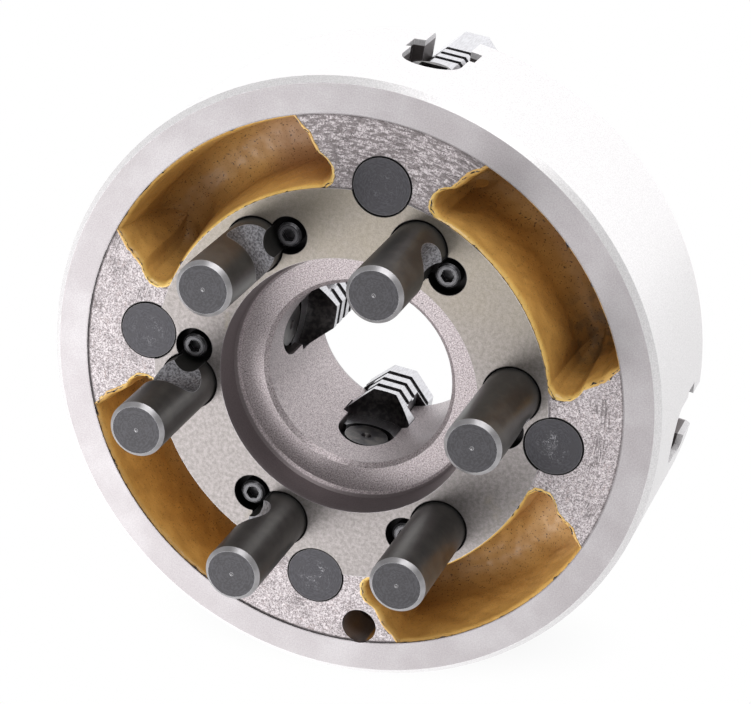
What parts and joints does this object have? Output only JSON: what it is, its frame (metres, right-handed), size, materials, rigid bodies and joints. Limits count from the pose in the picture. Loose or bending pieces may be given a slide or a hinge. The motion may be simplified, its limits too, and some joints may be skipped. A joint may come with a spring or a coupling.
{
  "type": "lathe chuck",
  "caption": "Four-jaw independent lathe chuck with a camlock spindle mount, cast pockets behind and stepped jaws moved by square-key screws.",
  "frame": {"origin": "centre of the rear mounting face, on the spindle axis", "axes": "+Y along the spindle axis towards the jaws, +Z towards jaw 1, +X towards jaw 4; the camlock studs point to -Y"},
  "size_m": [0.25, 0.1642, 0.25],
  "materials": {
    "ground_iron": "ground and turned, worn",
    "hardened_steel": "ground, with darker flanks",
    "dark_steel": "oiled dark steel",
    "turned_steel": "turned, darkened",
    "black_oxide": "black oxide with worn edges"
  },
  "bodies": {
    "body": {"chuck_body": "ground_iron", "thrust_bearing_1": "turned_steel", "thrust_bearing_2": "turned_steel", "thrust_bearing_3": "turned_steel", "thrust_bearing_4": "turned_steel", "cam_stud_1": "black_oxide", "cam_stud_2": "black_oxide", "cam_stud_3": "black_oxide", "cam_stud_4": "black_oxide", "cam_stud_5": "black_oxide", "cam_stud_6": "black_oxide", "stud_lock_screw_1": "black_oxide", "stud_lock_screw_2": "black_oxide", "stud_lock_screw_3": "black_oxide", "stud_lock_screw_4": "black_oxide", "stud_lock_screw_5": "black_oxide", "stud_lock_screw_6": "black_oxide"},
    "screw_1": {"jaw_screw_1": "dark_steel"},
    "jaw_1": {"jaw_1": "hardened_steel"},
    "screw_2": {"jaw_screw_2": "dark_steel"},
    "jaw_2": {"jaw_2": "hardened_steel"},
    "screw_3": {"jaw_screw_3": "dark_steel"},
    "jaw_3": {"jaw_3": "hardened_steel"},
    "screw_4": {"jaw_screw_4": "dark_steel"},
    "jaw_4": {"jaw_4": "hardened_steel"}
  },
  "joints": [
    {"name": "screw_1_turn", "type": "hinge", "parent": "body", "child": "screw_1", "pos_m": [0, 0.0433, 0.1], "axis": [0, 0, 1], "range_deg": [-1404, 2520]},
    {"name": "jaw_1_slide", "type": "slide", "parent": "body", "child": "jaw_1", "axis": [0, 0, 1], "range_m": [-0.0195, 0.035]},
    {"name": "screw_2_turn", "type": "hinge", "parent": "body", "child": "screw_2", "pos_m": [-0.1, 0.0433, 0], "axis": [-1, 0, 0], "range_deg": [-1404, 2520]},
    {"name": "jaw_2_slide", "type": "slide", "parent": "body", "child": "jaw_2", "axis": [-1, 0, 0], "range_m": [-0.0195, 0.035]},
    {"name": "screw_3_turn", "type": "hinge", "parent": "body", "child": "screw_3", "pos_m": [0, 0.0433, -0.1], "axis": [0, 0, -1], "range_deg": [-1404, 2520]},
    {"name": "jaw_3_slide", "type": "slide", "parent": "body", "child": "jaw_3", "axis": [0, 0, -1], "range_m": [-0.0195, 0.035]},
    {"name": "screw_4_turn", "type": "hinge", "parent": "body", "child": "screw_4", "pos_m": [0.1, 0.0433, 0], "axis": [1, 0, 0], "range_deg": [-1404, 2520]},
    {"name": "jaw_4_slide", "type": "slide", "parent": "body", "child": "jaw_4", "axis": [1, 0, 0], "range_m": [-0.0195, 0.035]}
  ],
  "couplings": [
    {"joint": "screw_1_turn", "follows": "jaw_1_slide", "rad_per_m": 1256.6},
    {"joint": "screw_2_turn", "follows": "jaw_2_slide", "rad_per_m": 1256.6},
    {"joint": "screw_3_turn", "follows": "jaw_3_slide", "rad_per_m": 1256.6},
    {"joint": "screw_4_turn", "follows": "jaw_4_slide", "rad_per_m": 1256.6}
  ]
}
